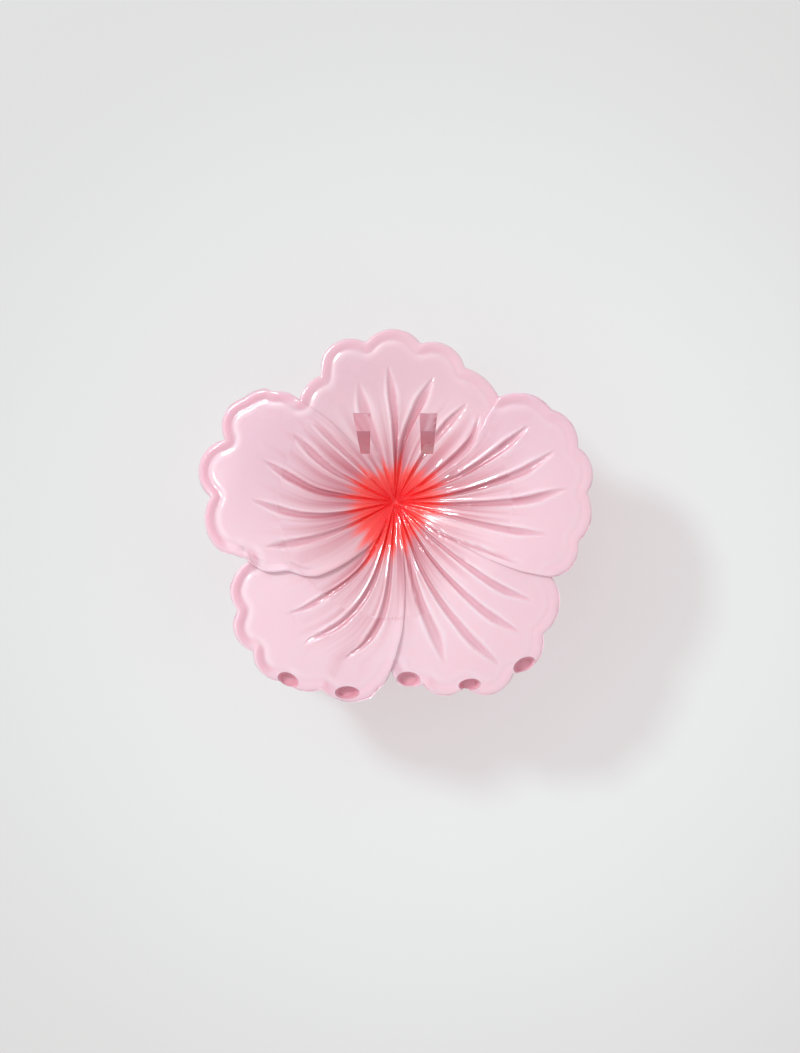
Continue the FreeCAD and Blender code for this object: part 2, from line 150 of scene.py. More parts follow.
# Each tooth: place of its root from the throat, and how far its section is turned, in degrees.
TEETH = [(-21.7, -35.8, -25), (-9.9, -38.2, 5), (2.7, -35.8, 12), (15.2, -36.4, 0), (26.4, -32.7, 28)]
TOOTH_ROOT, TOOTH_FLAT, TOOTH_CLEAR, TOOTH_LEAN = 2.6, 0.75, 1.0, 5.76
# Widths down a tooth: share of its length, and share of its root's width.
TOOTH_SECTIONS = [(0.0, 1.0), (0.22, 0.80), (0.5, 0.66), (0.8, 0.48), (1.0, 0.24)]
# The moulding pocket over each tooth: its middle, half length, half width and turn.
POCKETS = [
    (-21.9, -36.5, 2.3, 1.5, -28), (-9.8, -39.0, 2.5, 1.35, 0), (2.8, -36.4, 2.5, 1.7, -8),
    (15.3, -37.4, 2.3, 1.25, 6), (26.5, -33.4, 2.45, 1.5, 28)]
POCKET_DEEP = 1.9

# ---------------------------------------------------------------- small helpers


def smoothstep(low, high, value):
    t = np.clip((np.asarray(value, float) - low) / (high - low), 0, 1)
    return t * t * (3 - 2 * t)


def polar(degrees, distance):
    angle = np.radians(degrees)
    return np.stack([distance * np.cos(angle), distance * np.sin(angle)], -1)


def arc_through(a, b, c, count):
    """Points on the circle through a, b and c, from a to c."""
    m = np.array([b - a, c - b])
    centre = np.linalg.solve(m, [(b @ b - a @ a) / 2, (c @ c - b @ b) / 2])
    angles = [math.atan2(*(p - centre)[::-1]) for p in (a, b, c)]
    turn_b = (angles[1] - angles[0]) % math.tau
    turn_c = (angles[2] - angles[0]) % math.tau
    if turn_b > turn_c:  # the arc runs clockwise
        turn_c -= math.tau
    steps = angles[0] + np.linspace(0, turn_c, count)
    radius = np.linalg.norm(a - centre)
    return centre + radius * np.stack([np.cos(steps), np.sin(steps)], -1)


def nearest_on_line(points, line):
    """For each point the nearest point of a polyline, in the plane."""
    a, b = line[:-1], line[1:]
    along = b - a
    length2 = np.maximum((along**2).sum(1), 1e-12)
    nearest = np.empty((len(points), 2))
    for start in range(0, len(points), 4000):
        p = points[start : start + 4000, None, :]
        t = np.clip(((p - a) * along).sum(2) / length2, 0, 1)
        on_line = a + t[..., None] * along
        best = ((p - on_line) ** 2).sum(2).argmin(1)
        nearest[start : start + 4000] = on_line[np.arange(len(best)), best]
    return nearest


def distance_to_line(points, line):
    return np.linalg.norm(points - nearest_on_line(points, line), axis=1)


def make_mesh(name, vertices, faces):
    """A mesh object from points in millimetres."""
    mesh = bpy.data.meshes.new(name)
    mesh.from_pydata((np.asarray(vertices) * MM).tolist(), [], [list(map(int, f)) for f in faces])
    mesh.validate()
    made = bpy.data.objects.new(name, mesh)
    bpy.context.scene.collection.objects.link(made)
    return made


def boolean(target, tools, operation):
    """Joins or cuts target with each tool and removes the tools."""
    for tool in tools:
        step = target.modifiers.new("step", "BOOLEAN")
        step.operation, step.solver, step.object = operation, "MANIFOLD", tool
        bpy.context.view_layer.update()
        evaluated = target.evaluated_get(bpy.context.evaluated_depsgraph_get())
        result = bpy.data.meshes.new_from_object(evaluated)
        target.modifiers.clear()
        old, target.data = target.data, result
        bpy.data.meshes.remove(old)
        bpy.data.objects.remove(tool)
    return target


# ---------------------------------------------------------------- the petals' form


def outline_points(petal):
    points = [polar(*p) for p in PETALS[petal][2]]
    arcs = [arc_through(*points[i : i + 3], 24) for i in range(0, len(points) - 2, 2)]
    return np.concatenate(arcs)


OUTLINES = {petal: outline_points(petal) for petal in PETALS}


def margin(petal, degrees):
    """Distance from the throat to a petal's margin in a direction."""
    line = OUTLINES[petal]
    angle = np.degrees(np.unwrap(np.arctan2(line[:, 1], line[:, 0])))
    angle += 360 * round((PETALS[petal][2][0][0] - angle[0]) / 360)
    keep = np.maximum.accumulate(angle) <= angle + 1e-9
    return np.interp(degrees, angle[keep], np.linalg.norm(line, axis=1)[keep])


def bowl(drop, dish, distance):
    arc = (BELLY**2 + dish**2) / (2 * dish)
    return TOP_Z - drop - arc + np.sqrt(arc**2 - (distance - BELLY) ** 2)


def petal_height(petal, distance):
    """Height of a petal's plain bowl, which all petals share at the throat."""
    own = smoothstep(2.5, 13, distance)
    drop, dish, _ = PETALS[petal]
    return bowl(*THROAT_DISH, distance) * (1 - own) + bowl(drop, dish, distance) * own


def margins_cross(first, second):
    """Direction and distance from the throat of the notch between two petals' margins."""
    start, stop = PETALS[second][2][0][0], PETALS[first][2][-1][0]
    start -= 360 * round((start - stop) / 360)
    degrees = np.linspace(min(start, stop) - 1, max(start, stop) + 1, 400)
    turn = PETALS[second][2][0][0] - start
    gap = margin(first, degrees) - margin(second, degrees + turn)
    at = degrees[np.flatnonzero(gap <= 0)[0]] + turn
    return at, float(margin(second, at))


def seam_course(seam):
    """A seam's distances and directions, ending at the notch between its petals."""
    notch_angle, notch_reach = margins_cross(*seam[:2])
    distances, angles = zip(*seam[5], (notch_reach, 0))
    angles = np.array(angles, float)
    angles[-1] = notch_angle - 360 * round((notch_angle - angles[-2]) / 360)
    return np.array(distances, float), angles


def seam_angle(seam, distance):
    """Direction of a seam at a distance from the throat, with its corners eased."""
    distances, angles = COURSES[seam[:2]]
    steps = (-0.45, -0.22, 0, 0.22, 0.45)
    room = np.clip(np.minimum(distance, distances[-1] - distance) / 0.9, 0, 1)
    return np.mean([np.interp(distance + step * room, distances, angles) for step in steps], axis=0)


def seam_end(seam):
    """Distance and direction of a seam's outer end."""
    distances, angles = COURSES[seam[:2]]
    return distances[-1], angles[-1]


def seam_line(seam):
    """The seam's course in the plane, from the margin inwards."""
    distance = np.linspace(seam_end(seam)[0], 0.6, 150)
    return polar(seam_angle(seam, distance), distance)


COURSES = {seam[:2]: seam_course(seam) for seam in SEAMS}


def face_height(points, petal):
    """Height of a petal's plain face. Near a seam it follows the petal that lies on top of it."""
    distance = np.linalg.norm(points, axis=1)
    height = petal_height(petal, distance)
    for seam in SEAMS:
        first, second, upper, step = seam[:4]
        if petal not in (first, second) or petal == upper:
            continue
        near = np.exp(-((distance_to_line(points, SEAM_LINES[seam[:2]]) / 7) ** 2))
        step_here = step * smoothstep(3, 14, distance) + 0.5 * smoothstep(22, 32, distance)
        height += near * (petal_height(upper, distance) - step_here - height)
    return height


SEAM_LINES = {seam[:2]: seam_line(seam) for seam in SEAMS}


def vein_course(vein):
    """Smooth course of a vein from its outer end through its two other points to the throat."""
    knots = np.array([vein[0:2], vein[2:4], vein[4:6], (0, 0)])
    t = np.linspace(0, 3, 46)
    smooth = np.empty((len(t), 2))
    padded = np.vstack([2 * knots[0] - knots[1], knots, 2 * knots[3] - knots[2]])
    for i, u in enumerate(t):
        k = min(int(u), 2)
        p0, p1, p2, p3 = padded[k : k + 4]
        f = u - k
        square = (2 * p0 - 5 * p1 + 4 * p2 - p3) * f**2
        cube = (3 * p1 - p0 - 3 * p2 + p3) * f**3
        smooth[i] = 0.5 * (2 * p1 + (p2 - p0) * f + square + cube)
    return smooth


def vein_curve(vein):
    """A vein's distances from the throat and its direction in radians at each."""
    course = vein_course(vein)[:-1]
    reach = np.linalg.norm(course, axis=1)
    order = np.argsort(reach)
    return reach[order], np.unwrap(np.arctan2(course[:, 1], course[:, 0]))[order]


CURVES = [vein_curve(vein) for vein in VEINS]


def vein_field(points):
    """Relief of the veins, how deep in a vein each point is, and how near it is to a vein's raised edge.
    The last two are masks for the shade and highlights painted along the veins.
    """
    distance = np.linalg.norm(points, axis=1)
    height, depth, edge = np.zeros(len(points)), np.zeros(len(points)), np.zeros(len(points))
    for vein, (distances, angles) in zip(VEINS, CURVES):
        width, deep = vein[6:8]
        end = distances[-1]
        near = np.flatnonzero(distance < end + 2)
        here = distance[near]
        gap = np.arctan2(points[near, 1], points[near, 0]) - np.interp(here, distances, angles)
        aside = np.abs((gap + math.pi) % math.tau - math.pi) * here
        tip = np.clip((end - here) / 6, 0, 1) ** 0.6
        half = 0.86 * width * tip * np.clip(here / (0.82 * end), 0, 1) ** 1.1 + 0.04
        fade = tip * smoothstep(0.5, 9, here)
        valley = np.exp(-((aside / half) ** 5))
        lips = np.exp(-(((aside - 1.35 * half) / (0.28 * half + 0.16)) ** 2))
        height[near] += fade * deep * (0.22 * lips - valley)
        depth[near] = np.maximum(depth[near], fade * valley)
        pale = np.exp(-(((aside - 1.55 * half) / (0.4 * half + 0.1)) ** 2))
        edge[near] = np.maximum(edge[near], fade * pale)
    return height, depth, edge


def fold_turn(points):
    """A direction that stays the same along the veins, in radians, so that folds curve as they do."""
    distance = np.linalg.norm(points, axis=1)
    veins = np.stack([np.interp(distance, *curve) for curve in CURVES], 1) % math.tau
    veins.sort(axis=1)
    veins = np.hstack([veins[:, -1:] - math.tau, veins, veins[:, :1] + math.tau])
    angle = np.arctan2(points[:, 1], points[:, 0]) % math.tau
    below = (veins <= angle[:, None]).sum(1) - 1
    rows = np.arange(len(points))
    low, high = veins[rows, below], veins[rows, below + 1]
    return (below + (angle - low) / np.maximum(high - low, 1e-6)) * math.tau / len(CURVES)


def folds(points):
    """Fine folds round the throat that follow the veins."""
    distance = np.linalg.norm(points, axis=1)
    turn = fold_turn(points)
    fine = np.abs(np.sin(turn * 33 + 0.6)) ** 0.6 - 0.7
    broad = np.sin(turn * 22 + 0.8 * np.sin(3 * turn))
    inner = smoothstep(0.2, 1.6, distance) * (1 - smoothstep(6, 13, distance))
    outer = smoothstep(4, 9, distance) * (1 - smoothstep(12, 24, distance))
    return 0.15 * inner * fine + 0.07 * outer * broad


def seams_of(petal):
    """A petal's seam on its clockwise side and the one on its other side."""
    index = PETAL_ORDER.index(petal)
    return SEAMS[index], SEAMS[(index + 1) % len(SEAMS)]


EDGE_OFFSETS = np.array([0, 0.1, 0.25, 0.5, 0.85, 1.3, 1.9, 2.6])
COLUMNS = {"right": 112, "top": 104, "left": 112, "lower_left": 106, "lower_right": 106}


def column_pattern(count):
    """For each column its distance from the nearer seam, and its share of the way across the rest."""
    inner = count - 2 * len(EDGE_OFFSETS)
    edge = np.concatenate([EDGE_OFFSETS, np.full(inner, EDGE_OFFSETS[-1]), EDGE_OFFSETS[::-1]])
    across = np.concatenate([0 * EDGE_OFFSETS, (np.arange(inner) + 1) / (inner + 1), 0 * EDGE_OFFSETS + 1])
    return edge, across


def column_angles(first, last, distance, pattern):
    """Angles of a petal's columns between two seams at the given distances, crowded at the seams."""
    edge, across = pattern
    width = last - first
    widest = edge / EDGE_OFFSETS[-1] * 0.16 * width
    offset = np.minimum(np.degrees(edge / np.maximum(distance, 0.3)), widest)
    return first + offset + across * (width - 2 * offset)


def full_turn(petal):
    """Degrees to add to a petal's second seam so that it comes after the first."""
    first, last = seams_of(petal)
    return 360 * math.ceil((seam_end(first)[1] - seam_end(last)[1]) / 360)


def margin_columns(petal):
    """Direction and distance from the throat of each grid column's outer end."""
    first, last = seams_of(petal)
    (start_reach, start), (stop_reach, stop) = seam_end(first), seam_end(last)
    pattern = column_pattern(COLUMNS[petal])
    angle = column_angles(start, stop + full_turn(petal), 34, pattern)
    table_turn = 360 * round((PETALS[petal][2][0][0] - start) / 360)
    reach = margin(petal, angle + table_turn)
    near = 1 - smoothstep(0, EDGE_OFFSETS[-1], pattern[0])
    short = np.where(pattern[1] < 0.5, start_reach - reach[0], stop_reach - reach[-1])
    reach += near * short
    steepest = 0.7  # rise from one column to the next, so that the grid never folds at a notch
    for order in (range(1, len(reach)), range(len(reach) - 2, -1, -1)):
        for i in order:
            before = i - order.step
            reach[i] = min(reach[i], reach[before] + steepest)
    return angle, reach


MARGINS = {petal: polar(*margin_columns(petal)) for petal in PETALS}


def lip(edge, height, width):
    """A raised rounded lip along an edge, with a slight hollow and shoulder inside it."""
    rise = height * (1 - smoothstep(0.3 * width, width, edge))
    hollow = 0.28 * height * np.exp(-(((edge - 0.98 * width) / (0.2 * width)) ** 2))
    shoulder = 0.16 * height * np.exp(-(((edge - 1.35 * width) / (0.2 * width)) ** 2))
    return rise - hollow + shoulder


def rounding(edge, radius):
    """How far a rounded edge falls away from the face."""
    inward = np.clip(1 - edge / radius, 0, 1)
    return radius * (1 - np.sqrt(1 - inward**2))


# How strongly the margin is rolled up, by direction from the throat.
ROLL = [(-25, 0.5), (40, 0.55), (50, 0.5), (125, 0.55), (136, 1.0), (262, 1.0), (272, 0.5)]


def light_side(points, edge_points):
    """1 where the nearest margin is rolled up and looks to the upper left, 0 where it looks away."""
    outward = edge_points - points
    outward = outward / np.maximum(np.linalg.norm(outward, axis=1, keepdims=True), 1e-6)
    degrees = np.degrees(np.arctan2(points[:, 1], points[:, 0]))
    facing = smoothstep(-0.35, 0.5, outward @ np.array([-0.9, 0.43]))
    return np.interp(degrees, *zip(*ROLL), period=360) * facing


def top_surface(points, petal):
    """Height of the flower's face at points of one petal."""
    distance = np.linalg.norm(points, axis=1)
    height = face_height(points, petal)
    edge_points = nearest_on_line(points, MARGINS[petal])
    outer = np.linalg.norm(points - edge_points, axis=1)
    relief = vein_field(points)[0] + folds(points)
    height += relief * smoothstep(2.0, 4.5, outer)
    side = light_side(points, edge_points)
    height += (0.35 + 0.65 * side) * lip(outer, 0.45, 2.2) - rounding(outer, 0.5)
    faded = smoothstep(7, 22, distance)
    for seam in seams_of(petal):
        if seam[2] == petal:
            inner = distance_to_line(points, SEAM_LINES[seam[:2]])
            height += faded * (lip(inner, seam[4], 1.5) - rounding(inner, 0.25))
    return height


# ---------------------------------------------------------------- one flower as a closed sheet

RIM_OFFSETS = np.array([0, 0.05, 0.14, 0.27, 0.45, 0.8, 1.2, 1.5, 1.75, 2.0, 2.25, 2.5, 2.8, 3.2, 3.7, 4.3])
INNER_RINGS = 84
UNDER_RINGS = 26


def smoothed(values, spread):
    """Running average over the given number of neighbours on each side."""
    weights = np.hanning(2 * spread + 3)[1:-1]
    return np.convolve(np.pad(values, spread, mode="edge"), weights / weights.sum(), "valid")


def flower_grid():
    """Plan positions of the grid: for each petal an array of rings by columns by (x, y)."""
    grids = {}
    for petal in PETAL_ORDER:
        first, last = seams_of(petal)
        outer_angle, reach = margin_columns(petal)
        slope = np.gradient(reach, np.radians(outer_angle)) / reach
        stretch = smoothed(np.minimum(np.sqrt(1 + slope**2), 1.7), 4)
        near = 1 - smoothstep(0, EDGE_OFFSETS[-1], column_pattern(COLUMNS[petal])[0])
        stretch += near * (1.5 - stretch)
        inner_share = ((np.arange(INNER_RINGS) + 0.6) / INNER_RINGS) ** 1.12
        within = reach - RIM_OFFSETS[-1] * stretch
        smooth = smoothed(within, 7)
        smooth += near * (within - smooth)
        share = inner_share[:, None]
        inner = share * (smooth + (within - smooth) * share**3)
        distance = np.concatenate([inner, reach - RIM_OFFSETS[::-1, None] * stretch])
        start, stop = seam_angle(first, distance), seam_angle(last, distance) + full_turn(petal)
        grids[petal] = polar(column_angles(start, stop, distance, column_pattern(COLUMNS[petal])), distance)
    return grids


def scale_at(plan, size, trim):
    """How much a flower is scaled at points given in the plane."""
    degrees = np.degrees(np.arctan2(plan[..., 1], plan[..., 0]))
    return (size * np.interp(degrees, TRIM_ANGLES, (1, trim, 1)))[..., None]


def flower(size, trim):
    """The flower's shell: face, margin wall and underside as one closed mesh, its outline scaled."""
    grids = flower_grid()
    tops, lows = [], []
    for petal in PETAL_ORDER:
        plan = grids[petal]
        height = top_surface(plan.reshape(-1, 2), petal)
        tops.append(np.dstack([plan * scale_at(plan, size, trim), height.reshape(plan.shape[:2])]))
        chosen = np.unique(np.linspace(0, plan.shape[0] - 1, UNDER_RINGS).astype(int))
        low_plan = plan[chosen]
        flat = low_plan.reshape(-1, 2)
        edge = distance_to_line(flat, MARGINS[petal])
        under = face_height(flat, petal) - SHELL + rounding(edge, 0.4)
        low_scaled = low_plan * scale_at(low_plan, size, trim)
        lows.append(np.dstack([low_scaled, under.reshape(low_plan.shape[:2])]))
    top, low = np.concatenate(tops, 1), np.concatenate(lows, 1)
    rings, columns = top.shape[:2]
    wall_share = np.array([0.25, 0.5, 0.75])[:, None, None]
    wall = top[-1] * (1 - wall_share) + low[-1] * wall_share
    layers = np.concatenate([top, wall, low[::-1]])
    vertices = layers.reshape(-1, 3)
    index = np.arange(len(vertices)).reshape(layers.shape[:2])
    a, b = index[:-1], index[1:]
    quads = np.stack([a, np.roll(a, -1, 1), np.roll(b, -1, 1), b], -1).reshape(-1, 4)
    faces = [q[::-1] for q in quads]
    centre_top = [0, 0, top[0, :, 2].mean()]
    centre_low = [0, 0, low[0, :, 2].mean()]
    vertices = np.vstack([vertices, centre_top, centre_low])
    hub_top, hub_low = len(vertices) - 2, len(vertices) - 1
    first, last = index[0], index[-1]
    faces += [(hub_top, first[i], first[(i + 1) % columns]) for i in range(columns)]
    faces += [(hub_low, last[(i + 1) % columns], last[i]) for i in range(columns)]
    vertices[:, 1] += THROAT_Y
    return make_mesh("flower", vertices, faces)


# ---------------------------------------------------------------- lugs, teeth, windows, pockets and bores


def prism(name, outline, low, high, bevel, to_point):
    """A polygon pushed from low to high with rounded edges. to_point places (u, v, w) in the clip."""
    count = len(outline)
    middle = outline.mean(0)
    levels = [(low, bevel), (low + bevel * 0.3, bevel * 0.3), (low + bevel, 0)]
    levels += [(high - bevel, 0), (high - bevel * 0.3, bevel * 0.3), (high, bevel)]
    vertices = []
    for level, inset in levels:
        reach = np.linalg.norm(outline - middle, axis=1, keepdims=True)
        ring = middle + (outline - middle) * (1 - inset / reach)
        vertices += [to_point(u, v, level) for u, v in ring]
    return ringed(name, vertices, count)


def face_outwards(thing):
    """Turns every face of a closed mesh outwards."""
    work = bmesh.new()
    work.from_mesh(thing.data)
    bmesh.ops.recalc_face_normals(work, faces=work.faces)
    work.to_mesh(thing.data)
    work.free()


def ringed(name, vertices, count):
    """A closed skin over rings of count points each, given one after another."""
    faces = [tuple(range(count)), tuple(range(len(vertices) - count, len(vertices)))]
    for start in range(0, len(vertices) - count, count):
        for i in range(count):
            j = (i + 1) % count
            faces.append((start + i, start + j, start + count + j, start + count + i))
    made = make_mesh(name, vertices, faces)
    face_outwards(made)
    return made


def tangent_point(centre, radius, outside, side):
    away = outside - centre
    length = np.linalg.norm(away)
    half = side * math.acos(radius / length)
    turned = np.array([
        away[0] * math.cos(half) - away[1] * math.sin(half),
        away[0] * math.sin(half) + away[1] * math.cos(half),
    ])
    return centre + turned * (radius / length)


def lug(x):
    """A gusset from the shell to a knuckle round the pin."""
    hinge = np.array([HINGE_Y, MID_Z])
    bite = SHELL * 0.6
    far_y = WINDOW_LOW - LUG_ROOT
    near = np.array([THROAT_Y + WINDOW_LOW, float(petal_height("top", math.hypot(x, WINDOW_LOW))) - bite])
    far = np.array([THROAT_Y + far_y, float(petal_height("top", math.hypot(x, far_y))) - bite])
    front = tangent_point(hinge, KNUCKLE, near, -1)
    back = tangent_point(hinge, KNUCKLE, far, 1)
    below = hinge + (hinge - (front + back) / 2) / np.linalg.norm(hinge - (front + back) / 2) * KNUCKLE
    round_end = arc_through(front, below, back, 28)
    outline = np.vstack([[near], round_end, [far]])
    return prism("lug", outline, x - LUG_WIDTH / 2, x + LUG_WIDTH / 2, 0.25, lambda u, v, w: (w, u, v))


def window(x, narrowing):
    """A moulding window, narrower at its near end by the given widths on its left and right."""
    low_y, high_y = THROAT_Y + WINDOW_LOW, THROAT_Y + WINDOW_HIGH
    left, right = x - WINDOW_WIDTH / 2, x + WINDOW_WIDTH / 2
    near_left, near_right = left + narrowing[0], right - narrowing[1]
    outline = np.array([(near_left, low_y), (near_right, low_y), (right, high_y), (left, high_y)])
    return prism("window", outline, TOP_Z - 7, TOP_Z + 2, 0.01, lambda u, v, w: (u, v, w))


def ellipse(centre, turn, long_radius, short_radius, count=32):
    angle = np.linspace(0, math.tau, count, endpoint=False)
    c, s = math.cos(math.radians(turn)), math.sin(math.radians(turn))
    x, y = long_radius * np.cos(angle), short_radius * np.sin(angle)
    return np.column_stack([centre[0] + x * c - y * s, centre[1] + x * s + y * c])


def tooth_petal(x):
    return "lower_left" if x < 0 else "lower_right"


def tooth(x, y, turn):
    """A curved tapering tooth with a rounded tip."""
    face = float(petal_height(tooth_petal(x), math.hypot(x, y)))
    root_z = face - SHELL * 0.5
    tip_z = TOP_Z - face + SHELL + TOOTH_CLEAR
    shares, widths = zip(*TOOTH_SECTIONS)
    rings, count = [], 28
    for down in np.concatenate([np.linspace(0, 0.97, 26), [0.983, 0.993, 0.998]]):
        width = np.interp(down, shares, widths)
        lean = TOOTH_LEAN * smoothstep(0.25, 1.25, down)
        tip = math.sqrt(max(1 - ((down - 0.97) / 0.03) ** 2, 0)) if down > 0.97 else 1
        radius = TOOTH_ROOT * width * max(tip, 0.3)
        centre = (x, THROAT_Y + y + float(lean))
        ring = ellipse(centre, turn, radius, radius * TOOTH_FLAT, count)
        rings.append(np.column_stack([ring, np.full(count, root_z + (tip_z - root_z) * down)]))
    return ringed("tooth", np.concatenate(rings), count)


def pocket(x, y, long_radius, short_radius, turn):
    """The moulding pocket in the petal's face over a tooth, narrowing towards its floor."""
    face = float(petal_height(tooth_petal(x), math.hypot(x, y)))
    rings, count = [], 32
    floor = face - POCKET_DEEP
    for z, scale in ((face + 2, 1.05), (face - 0.4, 1), (floor + 0.8, 0.86), (floor, 0.6)):
        ring = ellipse((x, THROAT_Y + y), turn, long_radius * scale, short_radius * scale, count)
        rings.append(np.column_stack([ring, np.full(count, z)]))
    return ringed("pocket", np.concatenate(rings), count)


def bore(radius):
    """The hole for the pin, through both lugs."""
    outline = ellipse((HINGE_Y, MID_Z), 0, radius, radius, 40)
    return prism("bore", outline, -20, 20, 0.01, lambda u, v, w: (w, u, v))


# ---------------------------------------------------------------- jaws

# How far the red star reaches, as (degrees, mm from the throat).
STAR = [
    (-20, 7.6), (0, 9.0), (25, 9.3), (45, 8.2), (70, 7.4), (90, 7.6), (115, 7.4), (140, 8.4), (165, 9.0),
    (185, 8.6), (205, 9.2), (225, 9.8), (240, 11.5), (251, 12.5), (262, 10.8), (280, 8.9), (300, 7.4),
    (320, 7.0)]


def nearest_margin(plan):
    """Distance to the nearest margin and whether that margin looks to the upper left."""
    best, side = np.full(len(plan), 1e9), np.zeros(len(plan))
    for line in MARGINS.values():
        edge_points = nearest_on_line(plan, line)
        gap = np.linalg.norm(plan - edge_points, axis=1)
        side = np.where(gap < best, light_side(plan, edge_points), side)
        best = np.minimum(best, gap)
    return best, side


def local_face(plan):
    """Height of the face of whichever petal is uppermost at each point."""
    distance = np.linalg.norm(plan, axis=1)
    degrees = np.degrees(np.arctan2(plan[:, 1], plan[:, 0]))
    height = np.zeros(len(plan))
    for petal in PETALS:
        first, last = seams_of(petal)
        start, stop = seam_angle(first, distance), seam_angle(last, distance) + full_turn(petal)
        own = (degrees - start) % 360 <= stop - start
        height[own] = face_height(plan[own], petal)
    return height


def hole_mask(plan, size, lug_x):
    """1 in the plan of a pocket or a window, 0 elsewhere."""
    mask = np.zeros(len(plan))
    for x, y, long_radius, *_ in POCKETS:
        mask = np.maximum(mask, np.linalg.norm(plan - [x, y * size], axis=1) < long_radius + 0.3)
    for x in (-lug_x, lug_x):
        across = np.abs(plan[:, 0] - x) < WINDOW_WIDTH / 2 + 0.2
        along = (plan[:, 1] > WINDOW_LOW - 1) & (plan[:, 1] < WINDOW_HIGH + 0.2)
        mask = np.maximum(mask, across & along)
    return mask


def paint(thing, size, trim, lug_x):
    """Stores where the mesh is on the flower, for the plastic's material, with the masks for its painted
    shade and highlights.
    """
    mesh = thing.data
    co = np.empty(len(mesh.vertices) * 3)
    mesh.vertices.foreach_get("co", co)
    co = co.reshape(-1, 3) / MM
    place = co[:, :2] - [0, THROAT_Y]
    plan = place / scale_at(place, size, trim)
    rim, side = nearest_margin(plan)
    _, vein, vein_highlight = vein_field(plan)
    clear = smoothstep(2.0, 4.5, rim)
    depth = local_face(plan) - co[:, 2]
    degrees = np.degrees(np.arctan2(plan[:, 1], plan[:, 0]))
    turn = fold_turn(plan)
    values = {
        "vein": vein * clear,
        "vein_highlight": vein_highlight * clear,
        "rim": rim,
        "light_side": side,
        "hole": hole_mask(place, size, lug_x) * smoothstep(0.6, 1.2, depth),
        "under": smoothstep(1.2, 2.2, depth),
        "star": np.interp(degrees, *zip(*STAR), period=360),
    }
    for name, numbers in values.items():
        attribute = mesh.attributes.new(name, "FLOAT", "POINT")
        attribute.data.foreach_set("value", numbers.astype(np.float32))
    flat = np.zeros(len(turn))
    vectors = {
        "plan": np.column_stack([plan, flat]),
        "fold": np.column_stack([np.cos(turn), np.sin(turn), flat]),
    }
    for name, numbers in vectors.items():
        attribute = mesh.attributes.new(name, "FLOAT_VECTOR", "POINT")
        attribute.data.foreach_set("vector", numbers.astype(np.float32).ravel())


def shade_smooth(thing, degrees):
    for polygon in thing.data.polygons:
        polygon.use_smooth = True
    thing.data.set_sharp_from_angle(angle=math.radians(degrees))


def jaw(name, size, trim, lug_x, bore_radius, narrowing):
    """One moulded jaw in the front position."""
    made = flower(size, trim)
    face_outwards(made)
    places = [(x, y * size, turn) for x, y, turn in TEETH]
    sides = (-lug_x, lug_x)
    boolean(made, [window(x, n) for x, n in zip(sides, narrowing)], "DIFFERENCE")
    boolean(made, [lug(x) for x in sides] + [tooth(*place) for place in places], "UNION")
    pockets = [pocket(x, y * size, *shape) for x, y, *shape in POCKETS]
    boolean(made, [bore(bore_radius)] + pockets, "DIFFERENCE")
    made.name = made.data.name = name
    paint(made, size, trim, lug_x)
    shade_smooth(made, 38)
    return made


def turn_over(thing):
    """Turns a jaw from the front position to the rear one, about the clip's middle line along Y."""
    thing.data.transform(Matrix.Translation((0, 0, TOP_Z * MM)) @ Matrix.Rotation(math.pi, 4, "Y"))


# ---------------------------------------------------------------- steel parts


def tube(name, path, radius, sides=16):
    """A round wire along a path, with closed ends."""
    path = np.asarray(path, float)
    tangent = np.gradient(path, axis=0)
    tangent /= np.linalg.norm(tangent, axis=1, keepdims=True)
    across = np.cross(tangent, [1.0, 0, 0])
    across /= np.linalg.norm(across, axis=1, keepdims=True)
    other = np.cross(tangent, across)
    angle = np.linspace(0, math.tau, sides, endpoint=False)
    rings = (
        path[:, None]
        + radius * np.cos(angle)[None, :, None] * across[:, None]
        + radius * np.sin(angle)[None, :, None] * other[:, None]
    )
    return ringed(name, rings.reshape(-1, 3), sides)


def spring():
    """The torsion spring: coil round the pin and a leg to each finger petal."""
    wire, coil, pitch, reach, turns = 0.5, 2.4, 1.12, 14.2, 5
    rise = float(petal_height("top", HINGE_RISE + reach)) - SHELL - MID_Z - wire - 0.1
    length = math.sqrt(reach**2 + rise**2 - coil**2)
    slope = math.atan2(rise, reach) - math.atan(coil / length)
    spare = math.pi - 2 * slope
    total = turns * math.tau + spare
    half = total / math.tau * pitch / 2
    begin = -(slope + math.pi / 2)
    angle = begin - np.linspace(0, total, 240)
    x = np.linspace(-half, half, len(angle))
    round_pin = np.column_stack([x, HINGE_Y + coil * np.cos(angle), MID_Z + coil * np.sin(angle)])
    along = np.array([0, math.cos(slope), math.sin(slope)])
    steps = np.linspace(length, 0.6, 14)[:, None]
    rear_leg = round_pin[0] + steps * along * [1, 1, -1]
    front_leg = round_pin[-1] + steps[::-1] * along
    made = tube("torsion_spring_wire", np.vstack([rear_leg, round_pin, front_leg]), wire)
    shade_smooth(made, 50)
    return made, half, wire


def pin():
    """The hinge pin, with a domed head and a rounded far end."""
    half = REAR_LUG_X + LUG_WIDTH / 2
    profile = [(-half - 0.5, 0.0), (-half - 0.5, 0.72), (-half - 0.4, 0.9), (-half - 0.22, PIN_RADIUS)]
    profile += [(half, PIN_RADIUS), (half, 1.62), (half + 0.06, 1.7), (half + 0.2, 1.7)]
    dome = [(half + 0.2 + 0.7 * math.sin(a), 1.7 * math.cos(a)) for a in np.linspace(0.15, math.pi / 2, 9)]
    profile += dome[:-1] + [(half + 0.9, 0.0)]
    sides = 48
    vertices = []
    for x, radius in profile[1:-1]:
        for a in np.linspace(0, math.tau, sides, endpoint=False):
            vertices.append((x, HINGE_Y + radius * math.cos(a), MID_Z + radius * math.sin(a)))
    made = ringed("hinge_pin_steel", vertices, sides)
    shade_smooth(made, 35)
    return made


# ---------------------------------------------------------------- materials


